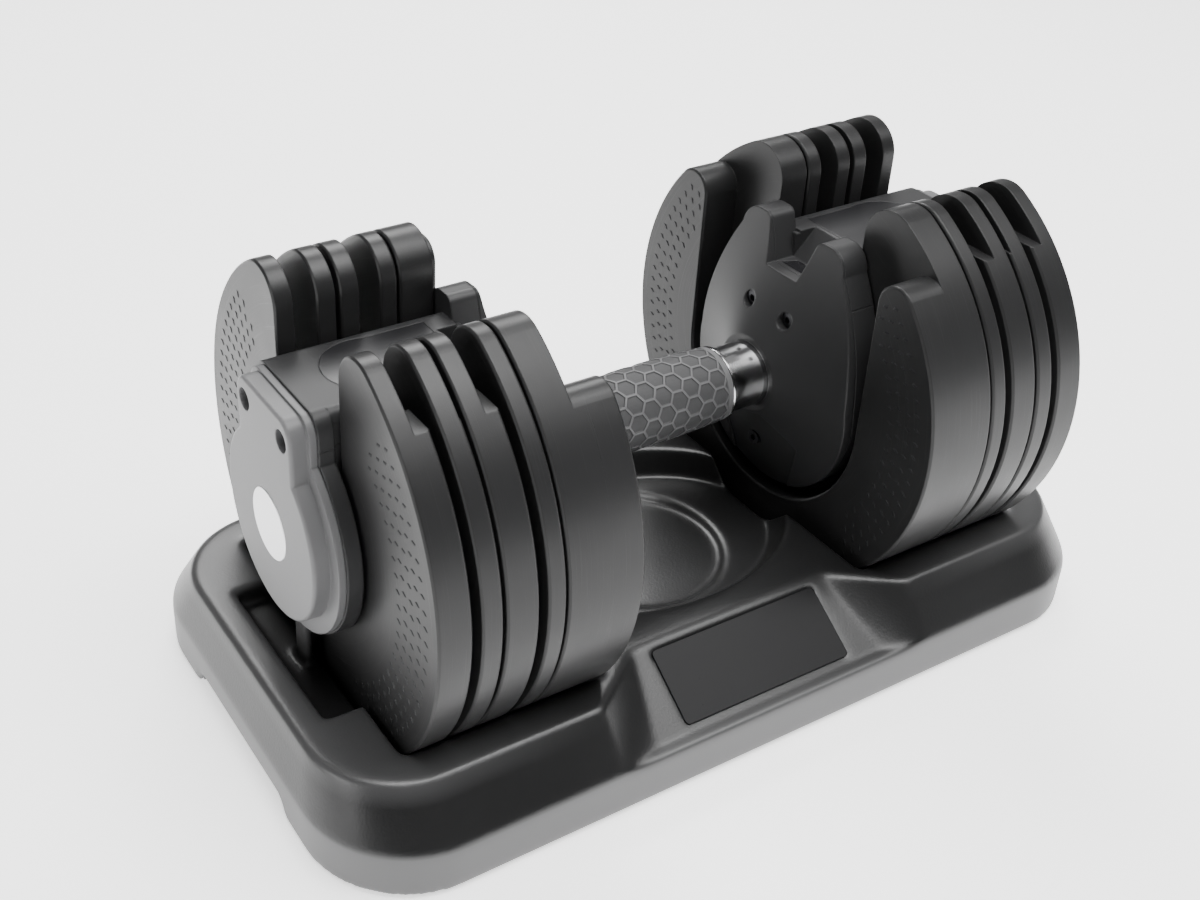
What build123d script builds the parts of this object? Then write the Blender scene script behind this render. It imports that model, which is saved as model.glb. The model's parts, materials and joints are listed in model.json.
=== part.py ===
"""Adjustable dumbbell in its storage tray.

The handle runs along X at a fixed height over the floor, the front of the tray is -Y and +Z is up.
The origin is on the floor, under the middle of the handle. Everything at the right-hand end (+X) is
mirrored to the left, except the pieces that cross the middle. Lengths are in millimetres.
"""
import os

from build123d import *

os.makedirs("parts", exist_ok=True)

# ---- overall sizes ---------------------------------------------------------------------------------
tray_length = 392.0
tray_width = 218.0
plate_radius = 100.0

# ---- plates, from the outermost (1) to the innermost (5) --------------------------------------------
stack_start = 71.0  # inner face of the innermost plate
rim_widths = [13.8, 8.6, 13.4, 7.6, 33.0]
gaps_inside = [3.8, 1.4, 3.8, 1.0]  # gap between a plate and the next one towards the middle
horn_widths = [7.8, 7.8, 7.8, 7.6, 14.8]
slot_half = 27.0
horn_tip_radius = 15.0
lip_depth = 10.0  # radial depth of the widened rim
lip_top = 72.0  # the widened rim stops this far over the axis
rim_chamfer = 0.8
block_half = 57.0  # half the clear width inside the innermost plate's block
block_drop = 8.0
block_tip_radius = 10.0

# ---- handle and shaft ------------------------------------------------------------------------------
grip_half = 37.0
grip_radius = 17.5
grip_end_radius = 16.3
ring_width = 2.0
ring_radius = 16.6
collar_radius = 15.0
shaft_radius = 8.0
shaft_flat = 7.0  # distance of each flat from the axis
key_clearance = 0.1
running_clearance = 0.06
seat_clearance = 0.05

# ---- housing ---------------------------------------------------------------------------------------
wall = 2.5
cover_nose = 57.0  # where the inner cover meets the collar
flange_start = 75.5
flange_width = 12.5
flange_half = 50.0
flange_drop = 60.0
lobe_height = 68.0
lobe_half = 22.0  # outer end of the flat top of each lobe
lobe_inner = 16.0
shoulder_half = 33.0
shoulder_height = 58.0
notch_half = 10.0
notch_floor = 47.0
ramp_length = 11.5  # from the notch up to the deck
lens_front_half = 8.5
lens_back_half = 5.5
hub_half = 25.0
split_height = 45.0  # parting line between the lower shell and the top shell
deck_height = 59.0
stack_gap = 2.0  # outermost plate to the outer flange
outer_width = 6.5
outer_radius = 47.5
outer_half = 27.0
end_cover_depth = 10.0
end_face_radius = 39.5
end_neck_half = 24.0
medallion_radius = 15.0
medallion_thick = 1.5
part_gap = 0.3

# ---- selector ---------------------------------------------------------------------------------------
positions = 6
twist_range = 180.0
tab_inset = [2.0, 2.0, 3.0, 2.0, 4.5]  # from each plate's outer face to its tab
tab_thick = 3.0
tab_half = 4.0
tab_top = 13.0  # distance below the axis
lug_under = 16.0
disc_radius = 20.5
ring_inner = 17.0
ring_length = 5.0
web_thick = 2.0
disc_gap = 0.5
gap_margin = 18.5  # degrees from a setting to the end of a ring's gap

# ---- dial, retainer and lock ------------------------------------------------------------------------
retainer_thick = 2.0
dial_radius = 44.0
dial_thick = 2.5
dial_rim = 2.5
wheel_radius = 18.0
wheel_thick = 3.0
wheel_gap = 0.9  # from the outer wall to the wheel, room for the springs
lock_drop = 6.0  # the slider's tooth drops this far into a notch of the wheel
lock_bar = 5.0
tooth_half = 2.2
spring_length = 12.0
spring_radius = 2.3
spring_wire = 0.9

# ---- screws, bushings and small parts --------------------------------------------------------------
nose_radius = 18.0
rim_lip = 0.6
panel_depth = 1.2
cover_screws = [(-12.0, 30.0), (12.0, 30.0), (0.0, -38.0)]
screw_radius = 1.6
screw_head_radius = 3.4
screw_head_height = 2.4
screw_boss_radius = 4.5
screw_seat = 11.5  # from the cover's nose to the underside of the screw heads
end_screws = [(-16.5, 47.5), (16.5, 47.5)]
end_screw_radius = 1.9
end_screw_head = 3.8
end_screw_recess = 4.6
end_screw_depth = 7.0
end_rim_depth = 3.0
end_edge_round = 1.5
neck_corner = 8.0
outer_corner = 8.0
deck_corner = 5.0
inlay_thick = 1.0
bushing_radius = 11.0
foot_half = 5.0
spring_place = 7.0
spring_turns = 5
washer_thick = 1.2
nut_thick = 5.0

# ---- tray -------------------------------------------------------------------------------------------
band_height = 21.5
crest_height = 44.0
corner_radius = 46.0
end_inset = 6.5
side_inset = 17.0
tray_wall = 2.5
well_clearance = 0.5
well_end_gap = 3.0
well_under = 2.4  # from the underside of the wells to the base
skirt_gap = 0.8
base_thick = 1.8
badge_half = 43.0
badge_thick = 1.2
notch_low_half = 60.0
notch_high_half = 51.0
notch_outer_half = 80.0
notch_low_back = 5.0
notch_high_back = 39.0
bowl_half_x = 78.0
bowl_half_y = 58.0
bowl_floor = 31.0
bowl_slope = 8.0
dish_radius = 42.0
dish_depth = 3.0
pocket_half = 44.0
pocket_floor = 36.0
pocket_end = 176.0
post_half = 6.0
arch_half = 45.0
arch_height = 8.0
tray_screws = [(x, y) for x in (-178.0, 178.0) for y in (-80.0, 80.0)]
tray_boss_radius = 5.0
tray_screw_radius = 1.6
foot_places = [(x, y) for x in (-156.0, 156.0) for y in (-88.0, 88.0)]
foot_radius = 9.0
foot_thick = 1.6
tray_screw_length = 14.0
badge_margin = 4.0

# ---- places worked out from the sizes above -----------------------------------------------------------
outer_faces = []
inner_faces = []
outer_face = stack_start + sum(rim_widths) + sum(gaps_inside)
for rim_width, gap in zip(rim_widths, gaps_inside + [0.0]):
    outer_faces.append(outer_face)
    inner_faces.append(outer_face - rim_width)
    outer_face -= rim_width + gap
stack_end = outer_faces[0]
base_top = skirt_gap + base_thick
axis_height = base_top + well_under + tray_wall + well_clearance + plate_radius
flange_end = flange_start + flange_width
ramp_start = flange_end - wall
ramp_end = ramp_start + ramp_length
hub_end = stack_end + stack_gap
outer_end = hub_end + outer_width
cover_face = outer_end + end_cover_depth
well_radius = plate_radius + well_clearance
tab_start = [face - inset - tab_thick for face, inset in zip(outer_faces, tab_inset)]
step_angle = twist_range / (positions - 1)
wheel_notch = wheel_radius - lock_drop  # radius of the floor of each notch
lock_bar_under = wheel_radius + lock_drop + 1.0
lock_bar_top = lock_bar_under + lock_bar


def across(x):
    """Plane square to the handle at x: its x is +Y, its y is +Z and its centre is on the axis."""
    return Plane(origin=(x, 0, axis_height), x_dir=(0, 1, 0), z_dir=(1, 0, 0))


along = Plane(origin=(0, 0, axis_height), x_dir=(1, 0, 0), z_dir=(0, -1, 0))
handle_axis = Axis((0, 0, axis_height), (1, 0, 0))


def save(piece, name):
    """Name a finished piece and write it."""
    piece.label = name
    export_step(piece, f"parts/{name}.step")


def save_pair(right, name):
    """Write the right-hand piece and its mirror image on the left."""
    save(right, f"{name}_right")
    save(mirror(right, about=Plane.YZ), f"{name}_left")


def save_both(right, name):
    """Write the right-hand pieces and their mirror images as one group of separate solids."""
    save(Compound(children=[*right.solids(), *mirror(right, about=Plane.YZ).solids()]), name)


# ==== profiles that several pieces share =================================================================
def slotted_disc(radius, half, tip_radius, drop=0.0):
    """Disc with a round-bottomed slot from the top; the two tips beside the slot are rounded."""
    Circle(radius)
    with Locations((0, -drop)):
        Circle(half, mode=Mode.SUBTRACT)
        Rectangle(2 * half, 2 * radius, align=(Align.CENTER, Align.MIN), mode=Mode.SUBTRACT)
    fillet(vertices().group_by(Axis.Y)[-1], tip_radius)


def keyhole(radius, half, height, corner):
    """Round lower part with a straight neck up to a flat top with rounded corners."""
    Rectangle(2 * half, height, align=(Align.CENTER, Align.MIN))
    fillet(vertices().group_by(Axis.Y)[-1], corner)
    Circle(radius)


def flange_outline():
    """The shield shape of the inner cover and inner flange: round below, two lobes above."""
    with BuildLine() as outline:
        ThreePointArc((-flange_half, 0), (0, -flange_drop), (flange_half, 0))
        for side in (1, -1):
            ThreePointArc((side * flange_half, 0),
                          (side * (flange_half + shoulder_half + 8) / 2, shoulder_height / 2),
                          (side * shoulder_half, shoulder_height))
            ThreePointArc((side * shoulder_half, shoulder_height),
                          (side * (shoulder_half + lobe_half + 4) / 2,
                           (shoulder_height + lobe_height + 5) / 2),
                          (side * lobe_half, lobe_height))
            Polyline((side * lobe_half, lobe_height), (side * lobe_inner, lobe_height),
                     (side * notch_half, notch_floor))
        Line((-notch_half, notch_floor), (notch_half, notch_floor))
    make_face(outline.edges())
    fillet(vertices().filter_by(lambda v: abs(abs(v.X) - lobe_inner) < 0.1), 4)


def half_plane(height, above):
    """Everything above (or below) a height, to keep or cut one side of the parting line."""
    with Locations((0, height)):
        Rectangle(400, 400, align=(Align.CENTER, Align.MIN if above else Align.MAX),
                  mode=Mode.INTERSECT)


def window_outline(grow=0.0):
    """Window in the floor of the notch, over the rim of the number dial."""
    front, back = flange_start + 2 - grow, ramp_start - 1 + grow
    Polygon((front, -lens_front_half - grow), (front, lens_front_half + grow),
            (back, lens_back_half + grow), (back, -lens_back_half - grow), align=None)


def inlay_outline(grow=0.0):
    """Dark panel in the deck: straight towards the middle, narrowing to a round end outside."""
    start, end = ramp_end + 2 - grow, hub_end - 9 + grow
    half = hub_half - 7 + grow
    with BuildLine() as outline:
        Polyline((start + 26, half), (start, half), (start, -half), (start + 26, -half))
        ThreePointArc((start + 26, -half), (end, 0), (start + 26, half))
    make_face(outline.edges())


def keyed_bore():
    """Round hole with two flats that fits the shaft."""
    with BuildSketch(mode=Mode.PRIVATE) as bore:
        Circle(shaft_radius + key_clearance)
        Rectangle(4 * shaft_radius, 2 * (shaft_flat + key_clearance), mode=Mode.INTERSECT)
    add(bore.sketch, mode=Mode.SUBTRACT)


# ==== plates ==========================================================================================
for index, (outer, inner, horn) in enumerate(zip(outer_faces, inner_faces, horn_widths)):
    with BuildPart() as plate:
        with BuildSketch(across(outer - horn)):
            slotted_disc(plate_radius, slot_half, horn_tip_radius)
        extrude(amount=horn)
        if inner < outer - horn and index < len(outer_faces) - 1:
            with BuildSketch(across(inner)):
                Circle(plate_radius)
                Circle(plate_radius - lip_depth, mode=Mode.SUBTRACT)
                half_plane(lip_top, above=False)
            extrude(amount=outer - horn - inner)
        if index == len(outer_faces) - 1:
            with BuildSketch(across(inner)):
                slotted_disc(plate_radius, block_half, block_tip_radius, block_drop)
            extrude(amount=outer - horn - inner)
        rims = edges().filter_by(GeomType.CIRCLE).filter_by(lambda e: e.radius > plate_radius - 0.01)
        chamfer(rims.filter_by(lambda e: abs(e.center().X - outer) < 0.1
                               or abs(e.center().X - inner) < 0.1), rim_chamfer)
        # lifting tab: a post up from the slot's floor, with a lug towards the middle over the ring
        start = tab_start[index]
        with BuildSketch(across(start)):
            with Locations((0, -slot_half - 1)):
                Rectangle(2 * tab_half, slot_half + 1 - tab_top, align=(Align.CENTER, Align.MIN))
        extrude(amount=tab_thick)
        with BuildSketch(across(start)):
            with Locations((0, -tab_top)):
                Rectangle(2 * tab_half, lug_under - tab_top, align=(Align.CENTER, Align.MAX))
        extrude(amount=-ring_length)
    save_pair(plate.part, f"plate_{index + 1}")

# ==== handle ============================================================================================
with BuildPart() as handle_grip:
    with BuildSketch(along):
        with BuildLine():
            Spline((-grip_half, grip_end_radius), (0, grip_radius), (grip_half, grip_end_radius),
                   tangents=((1, 0.05), (1, -0.05)))
            Polyline((grip_half, grip_end_radius), (grip_half, shaft_radius + key_clearance),
                     (-grip_half, shaft_radius + key_clearance), (-grip_half, grip_end_radius))
        make_face()
    revolve(axis=handle_axis)
save(handle_grip.part, "handle_grip")

with BuildPart() as grip_ring:
    with BuildSketch(across(grip_half)):
        Circle(ring_radius)
        Circle(shaft_radius + key_clearance, mode=Mode.SUBTRACT)
    extrude(amount=ring_width)
    rims = edges().filter_by(GeomType.CIRCLE)
    chamfer(rims.filter_by(lambda e: e.radius > shaft_radius + 1), 0.4)
save_both(grip_ring.part, "grip_rings")

collar_start = grip_half + ring_width
collar_end = flange_start + retainer_thick - disc_gap
with BuildPart() as collar:
    with BuildSketch(across(collar_start)):
        Circle(collar_radius)
        Circle(shaft_radius + key_clearance, mode=Mode.SUBTRACT)
    extrude(amount=collar_end - collar_start)
save_pair(collar.part, "chrome_collar")

shaft_end = outer_end + 5.5
flats_start = collar_end
with BuildPart() as core_shaft:
    with BuildSketch(across(-shaft_end)):
        Circle(shaft_radius)
    extrude(amount=2 * shaft_end)
    for side in (1, -1):
        for up in (1, -1):
            with BuildSketch(across(side * flats_start)):
                with Locations((0, up * shaft_flat)):
                    Rectangle(4 * shaft_radius, shaft_radius,
                              align=(Align.CENTER, Align.MIN if up > 0 else Align.MAX))
            extrude(amount=side * (shaft_end - flats_start), mode=Mode.SUBTRACT)
save(core_shaft.part, "core_shaft")

# ==== selector discs ======================================================================================
for index, start in enumerate(tab_start):
    ring_end = start - disc_gap
    with BuildPart() as disc:
        with BuildSketch(across(ring_end - ring_length - web_thick)):
            Circle(disc_radius)
            keyed_bore()
        extrude(amount=web_thick)
        with BuildSketch(across(ring_end - ring_length)):
            Circle(disc_radius)
            Circle(ring_inner, mode=Mode.SUBTRACT)
            # the gap lets the lug pass at each setting that leaves this plate in the tray
            gap_start = step_angle * (index + 1) - gap_margin
            gap_end = twist_range + gap_margin
            with BuildLine():
                arc = CenterArc((0, 0), 2 * disc_radius, -90 - gap_end, gap_end - gap_start)
                Line(arc @ 1, (0, 0))
                Line((0, 0), arc @ 0)
            make_face(mode=Mode.SUBTRACT)
        extrude(amount=ring_length)
    save_pair(disc.part, f"selector_disc_{index + 1}")

# ==== number dial and its retainer ==========================================================================
dial_start = flange_start + retainer_thick + 1.0
with BuildPart() as dial:
    with BuildSketch(across(dial_start)):
        Circle(dial_radius)
        keyed_bore()
    extrude(amount=dial_thick)
    with BuildSketch(across(dial_start + dial_thick)):
        Circle(dial_radius)
        Circle(dial_radius - dial_rim, mode=Mode.SUBTRACT)
        Circle(collar_radius)
        keyed_bore()
    extrude(amount=flange_end - wall - part_gap - 1.0 - dial_start - dial_thick)
save_pair(dial.part, "number_dial")

with BuildPart() as retainer:
    with BuildSketch(across(flange_start)):
        flange_outline()
        offset(amount=-wall - part_gap, mode=Mode.REPLACE)
        Circle(collar_radius + 1, mode=Mode.SUBTRACT)
        with Locations(*cover_screws):
            Circle(screw_radius + seat_clearance, mode=Mode.SUBTRACT)
    extrude(amount=retainer_thick)
save_pair(retainer.part, "dial_retainer")


# ==== inner cover =============================================================================================
def dome(shift, mode=Mode.ADD):
    """Body of revolution whose front flares out from the collar to the flange's rim."""
    with BuildSketch(along) as section:
        with BuildLine():
            front = ThreePointArc((cover_nose + shift, nose_radius),
                                  (cover_nose + shift + 10, nose_radius + 21),
                                  (flange_start + shift - rim_lip, lobe_height + 6))
            Polyline(front @ 1, (flange_start + shift, lobe_height + 6), (flange_start + shift, 0),
                     (cover_nose + shift, 0), front @ 0)
        make_face()
    revolve(section.sketch, axis=handle_axis, mode=mode)


cover_depth = flange_start - cover_nose
with BuildPart() as cover_hollow:
    with BuildSketch(across(cover_nose)):
        flange_outline()
        offset(amount=-wall, mode=Mode.REPLACE)
    extrude(amount=cover_depth)
    dome(wall, mode=Mode.INTERSECT)
    with BuildSketch(across(cover_nose)):
        with Locations(*cover_screws):
            Circle(screw_boss_radius)
        Circle(nose_radius)
    extrude(amount=cover_depth, mode=Mode.SUBTRACT)

with BuildPart() as panel_cut:
    with BuildSketch(across(cover_nose)):
        Polygon((-10, -17), (10, -17), (27, -30), (18, -60), (-18, -60), (-27, -30), align=None)
        Circle(nose_radius + 1.5, mode=Mode.SUBTRACT)
    extrude(amount=cover_depth)
    dome(panel_depth, mode=Mode.SUBTRACT)

with BuildPart() as inner_cover:
    with BuildSketch(across(cover_nose)):
        flange_outline()
    extrude(amount=cover_depth)
    dome(0, mode=Mode.INTERSECT)
    add(panel_cut.part, mode=Mode.SUBTRACT)
    add(cover_hollow.part, mode=Mode.SUBTRACT)
    with BuildSketch(across(cover_nose)):
        Circle(collar_radius + running_clearance)
        with Locations(*cover_screws):
            Circle(screw_radius + seat_clearance)
    extrude(amount=cover_depth, mode=Mode.SUBTRACT)
    with BuildSketch(across(cover_nose)):
        with Locations(*cover_screws):
            Circle(screw_head_radius + part_gap)
    extrude(amount=screw_seat, mode=Mode.SUBTRACT)
save_pair(inner_cover.part, "inner_cover")

with BuildPart() as window_lens:
    with BuildSketch(Plane.XY.offset(axis_height + split_height)):
        window_outline(grow=-seat_clearance)
    extrude(amount=notch_floor - split_height)
save_pair(window_lens.part, "window_lens")


def screw(seat, end, radius, head_radius, head_height, places):
    """Screws along X with a hex socket, their heads resting on a seat and facing the lower x."""
    toward = 1 if end > seat else -1
    with BuildSketch(across(seat)) as shanks:
        with Locations(*places):
            Circle(radius)
    extrude(shanks.sketch, amount=end - seat)
    with BuildSketch(across(seat)) as heads:
        with Locations(*places):
            Circle(head_radius)
    extrude(heads.sketch, amount=-toward * head_height)
    with BuildSketch(across(seat - toward * head_height)) as sockets:
        with Locations(*places):
            RegularPolygon(head_radius * 0.5, 6)
    extrude(sockets.sketch, amount=toward * head_height * 0.6, mode=Mode.SUBTRACT)


with BuildPart() as cover_screw_set:
    screw(cover_nose + screw_seat, flange_start + retainer_thick, screw_radius, screw_head_radius,
          screw_head_height, cover_screws)
save_both(cover_screw_set.part, "cover_screws")


# ==== housing ====================================================================================================
def trough(half, top):
    """Round-bottomed channel section of the hub."""
    Circle(half)
    Rectangle(2 * half, top, align=(Align.CENTER, Align.MIN))
    half_plane(top, above=False)


outer_wall_end = hub_end + wall
wheel_start = outer_wall_end + wheel_gap
shelf_height = lock_bar_top + spring_length
with BuildPart() as housing_lower:
    with BuildSketch(across(flange_start)):
        flange_outline()
        half_plane(split_height, above=False)
    extrude(amount=flange_width)
    with BuildSketch(across(flange_end)):
        trough(hub_half, split_height)
    extrude(amount=hub_end - flange_end)
    with BuildSketch(across(hub_end)):
        keyhole(outer_radius, outer_half, deck_height, outer_corner)
        half_plane(split_height, above=False)
    extrude(amount=outer_width)
    with BuildSketch(across(flange_start)):
        flange_outline()
        offset(amount=-wall, mode=Mode.REPLACE)
        half_plane(split_height, above=False)
    extrude(amount=flange_width - wall, mode=Mode.SUBTRACT)
    with BuildSketch(across(flange_end)):
        trough(hub_half - wall, split_height)
    extrude(amount=hub_end - flange_end, mode=Mode.SUBTRACT)
    with BuildSketch(across(outer_wall_end)):
        keyhole(outer_radius - wall, outer_half - wall, deck_height, outer_corner)
        half_plane(split_height, above=False)
    extrude(amount=outer_width - wall, mode=Mode.SUBTRACT)
    # shelf over the lock's springs in the outer flange
    with BuildSketch(across(outer_wall_end)):
        with Locations((0, shelf_height)):
            Rectangle(2 * outer_half - wall, wall, align=(Align.CENTER, Align.MIN))
    extrude(amount=outer_width - wall)
    # seats of the two shaft bushings
    for seat in (flange_end - wall, hub_end):
        with BuildSketch(across(seat)):
            Circle(bushing_radius)
        extrude(amount=wall, mode=Mode.SUBTRACT)
    # slots for the plates' lifting tabs
    for start in tab_start:
        with BuildSketch(across(start - part_gap)):
            with Locations((0, -hub_half - 1)):
                Rectangle(2 * (tab_half + part_gap), 2 * wall, align=(Align.CENTER, Align.MIN))
        extrude(amount=tab_thick + 2 * part_gap, mode=Mode.SUBTRACT)
    # slot for the lock slider's foot
    with BuildSketch(across(wheel_start - part_gap)):
        with Locations((0, -outer_radius - 1)):
            Rectangle(2 * (foot_half + part_gap), 3 * wall, align=(Align.CENTER, Align.MIN))
    extrude(amount=wheel_thick + 2 * part_gap, mode=Mode.SUBTRACT)
save_pair(housing_lower.part, "housing_lower")


def deck_section(half, height, corner):
    """Upper part of the hub or outer flange, with rounded top edges."""
    Rectangle(2 * half, height, align=(Align.CENTER, Align.MIN))
    fillet(vertices().group_by(Axis.Y)[-1], corner)
    half_plane(split_height, above=True)


with BuildPart() as housing_top:
    with BuildSketch(across(flange_start)):
        flange_outline()
        half_plane(split_height, above=True)
    extrude(amount=flange_width)
    with BuildSketch(across(flange_end)):
        deck_section(hub_half, deck_height, deck_corner)
    extrude(amount=hub_end - flange_end)
    with BuildSketch(across(hub_end)):
        deck_section(outer_half, deck_height, outer_corner)
    extrude(amount=outer_width)
    with BuildSketch(across(flange_start)):
        flange_outline()
        offset(amount=-wall, mode=Mode.REPLACE)
        half_plane(split_height, above=True)
    extrude(amount=flange_width - wall, mode=Mode.SUBTRACT)
    with BuildSketch(across(flange_end)):
        deck_section(hub_half - wall, deck_height - wall - inlay_thick, deck_corner)
    extrude(amount=hub_end - flange_end, mode=Mode.SUBTRACT)
    with BuildSketch(across(outer_wall_end)):
        deck_section(outer_half - wall, deck_height - wall, outer_corner)
    extrude(amount=outer_width - wall, mode=Mode.SUBTRACT)
    with BuildSketch(Plane.XY.offset(axis_height + deck_height)):
        inlay_outline()
    extrude(amount=-inlay_thick, mode=Mode.SUBTRACT)
    # screw bosses for the end cover
    with BuildSketch(across(outer_wall_end)):
        with Locations(*end_screws):
            Circle(screw_boss_radius)
        half_plane(split_height, above=True)
        with Locations(*end_screws):
            Circle(end_screw_radius + seat_clearance, mode=Mode.SUBTRACT)
    extrude(amount=outer_width - wall)
    # ramp from the notch up to the deck
    with BuildSketch(along):
        Polygon((ramp_start, split_height), (ramp_start, deck_height - 1),
                (ramp_end + wall, deck_height - 1), (ramp_start + wall + 4, split_height),
                align=None)
    extrude(amount=notch_half + wall, both=True)
    with BuildSketch(along):
        Polygon((ramp_start, notch_floor), (ramp_end, deck_height),
                (ramp_end, lobe_height + 1), (ramp_start, lobe_height + 1), align=None)
    extrude(amount=notch_half, both=True, mode=Mode.SUBTRACT)
    with BuildSketch(Plane.XY.offset(axis_height + split_height)):
        window_outline()
    extrude(amount=notch_floor - split_height, mode=Mode.SUBTRACT)
save_pair(housing_top.part, "housing_top")

with BuildPart() as top_inlay:
    with BuildSketch(Plane.XY.offset(axis_height + deck_height - inlay_thick)):
        inlay_outline(-seat_clearance)
    extrude(amount=inlay_thick)
save_pair(top_inlay.part, "top_inlay")

with BuildPart() as bushings:
    for seat in (flange_end - wall, hub_end):
        with BuildSketch(across(seat)):
            Circle(bushing_radius - seat_clearance)
            Circle(shaft_radius + running_clearance, mode=Mode.SUBTRACT)
        extrude(amount=wall)
save_both(bushings.part, "shaft_bushings")

# ==== end cover ====================================================================================================
with BuildPart() as end_cover:
    with BuildSketch(across(outer_end)):
        keyhole(outer_radius - 1, outer_half - 1, deck_height - 1, outer_corner)
    extrude(amount=end_rim_depth)
    with BuildSketch(across(outer_end)):
        keyhole(end_face_radius, end_neck_half, deck_height - 2, neck_corner)
    extrude(amount=end_cover_depth)
    front = faces().filter_by(Axis.X).sort_by(Axis.X)[-1]
    fillet(front.edges(), end_edge_round)
    with BuildSketch(across(outer_end)):
        keyhole(end_face_radius - wall, end_neck_half - wall, deck_height - 2 - wall, neck_corner)
        with Locations(*end_screws):
            Circle(end_screw_recess + wall, mode=Mode.SUBTRACT)
    extrude(amount=end_cover_depth - wall, mode=Mode.SUBTRACT)
    with BuildSketch(across(cover_face)):
        with Locations(*end_screws):
            Circle(end_screw_recess)
    extrude(amount=-end_screw_depth, mode=Mode.SUBTRACT)
    with BuildSketch(across(outer_end)):
        with Locations(*end_screws):
            Circle(end_screw_radius + seat_clearance)
    extrude(amount=end_cover_depth, mode=Mode.SUBTRACT)
    with BuildSketch(across(cover_face)):
        Circle(medallion_radius + seat_clearance)
    extrude(amount=part_gap - medallion_thick, mode=Mode.SUBTRACT)
save_pair(end_cover.part, "end_cover")

with BuildPart() as medallion:
    with BuildSketch(across(cover_face + part_gap - medallion_thick)):
        Circle(medallion_radius)
    extrude(amount=medallion_thick)
    chamfer(edges().group_by(Axis.X)[-1], part_gap)
save_pair(medallion.part, "medallion")

with BuildPart() as end_screw_set:
    screw(cover_face - end_screw_depth, outer_wall_end + 0.5, end_screw_radius, end_screw_head,
          screw_head_height, end_screws)
save_both(end_screw_set.part, "end_screws")

# ==== lock ===========================================================================================================
with BuildPart() as lock_wheel:
    with BuildSketch(across(wheel_start)):
        Circle(wheel_radius)
        with PolarLocations(0, positions, 90, -step_angle * (positions - 1), endpoint=True):
            with Locations((wheel_notch, 0)):
                Rectangle(wheel_radius, 2 * tooth_half + 1, align=(Align.MIN, Align.CENTER),
                          mode=Mode.SUBTRACT)
        keyed_bore()
    extrude(amount=wheel_thick)
save_pair(lock_wheel.part, "lock_wheel")

with BuildPart() as lock_slider:
    with BuildSketch(across(wheel_start)):
        with Locations((0, lock_bar_top)):
            Rectangle(2 * (wheel_radius + 6), lock_bar_top + wheel_radius + 6,
                      align=(Align.CENTER, Align.MAX))
        with Locations((0, lock_bar_under)):
            Rectangle(2 * (wheel_radius + 2), lock_bar_under + wheel_radius + 2,
                      align=(Align.CENTER, Align.MAX), mode=Mode.SUBTRACT)
        with Locations((0, lock_bar_under)):
            Rectangle(2 * tooth_half, lock_bar_under - wheel_radius - part_gap,
                      align=(Align.CENTER, Align.MAX))
        with Locations((0, part_gap - outer_radius)):
            Rectangle(2 * foot_half, outer_radius - wheel_radius - 4, align=(Align.CENTER, Align.MIN))
    extrude(amount=wheel_thick)
save_pair(lock_slider.part, "lock_slider")

with BuildPart() as lock_springs:
    for place in (-spring_place, spring_place):
        base = (wheel_start + wheel_thick / 2, place, axis_height + lock_bar_top + spring_wire)
        with BuildLine() as coil:
            Helix(pitch=(spring_length - 2 * spring_wire) / spring_turns,
                  height=spring_length - 2 * spring_wire, radius=spring_radius - spring_wire / 2,
                  center=base)
        with BuildSketch(Plane(origin=coil.line @ 0, z_dir=coil.line % 0)):
            Circle(spring_wire / 2)
        sweep(path=coil.line)
save_pair(lock_springs.part, "lock_springs")

with BuildPart() as shaft_nut:
    with BuildSketch(across(wheel_start + wheel_thick + part_gap)):
        Circle(wheel_notch - 1)
        keyed_bore()
    extrude(amount=washer_thick)
    with BuildSketch(across(wheel_start + wheel_thick + 2 * part_gap + washer_thick)):
        RegularPolygon(wheel_notch - 1, 6)
        Circle(shaft_radius + key_clearance, mode=Mode.SUBTRACT)
    extrude(amount=nut_thick)
save_both(shaft_nut.part, "shaft_nuts")

# ==== tray =============================================================================================================
def tray_block(inset, top):
    """Solid outline of the tray: an upright band, then a sloping shoulder up to the crest."""
    bottom = skirt_gap if inset == 0 else 0
    with BuildSketch(Plane.XY.offset(band_height)) as band:
        RectangleRounded(tray_length - 2 * inset, tray_width - 2 * inset, corner_radius - inset)
    extrude(band.sketch, amount=bottom - band_height)
    with BuildSketch(Plane.XY.offset(top)) as crest:
        RectangleRounded(tray_length - 2 * (end_inset + inset), tray_width - 2 * (side_inset + inset),
                         corner_radius - end_inset - inset)
    loft([band.sketch, crest.sketch], ruled=True)


def well(grow):
    """The two round-bottomed wells for the plate stacks, and the pockets outside them."""
    for side in (1, -1):
        with BuildSketch(across(side * (stack_start - well_end_gap - grow))) as trench:
            Circle(well_radius + grow)
        extrude(trench.sketch, amount=side * (hub_end - stack_start + well_end_gap + 2 * grow))
        with BuildSketch(Plane.XY.offset(pocket_floor - grow)) as pocket:
            with Locations((side * (stack_end - 5), 0)):
                Rectangle(pocket_end - stack_end + 5 + grow, 2 * (pocket_half + grow),
                          align=(Align.MIN if side > 0 else Align.MAX, Align.CENTER))
        extrude(pocket.sketch, amount=crest_height + 1 - pocket_floor + grow)


def bowl(grow):
    """Oval bowl under the grip, with a round dish in its floor."""
    with BuildSketch(Plane.XY.offset(crest_height + 1)) as rim:
        Ellipse(bowl_half_x + grow, bowl_half_y + grow)
    with BuildSketch(Plane.XY.offset(bowl_floor - grow)) as floor:
        Ellipse(bowl_half_x - bowl_slope + grow, bowl_half_y - bowl_slope + grow)
    loft([floor.sketch, rim.sketch], ruled=True)
    with BuildSketch(Plane.XY.offset(bowl_floor)) as dish:
        Circle(dish_radius + grow)
    extrude(dish.sketch, amount=-dish_depth - grow)


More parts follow.
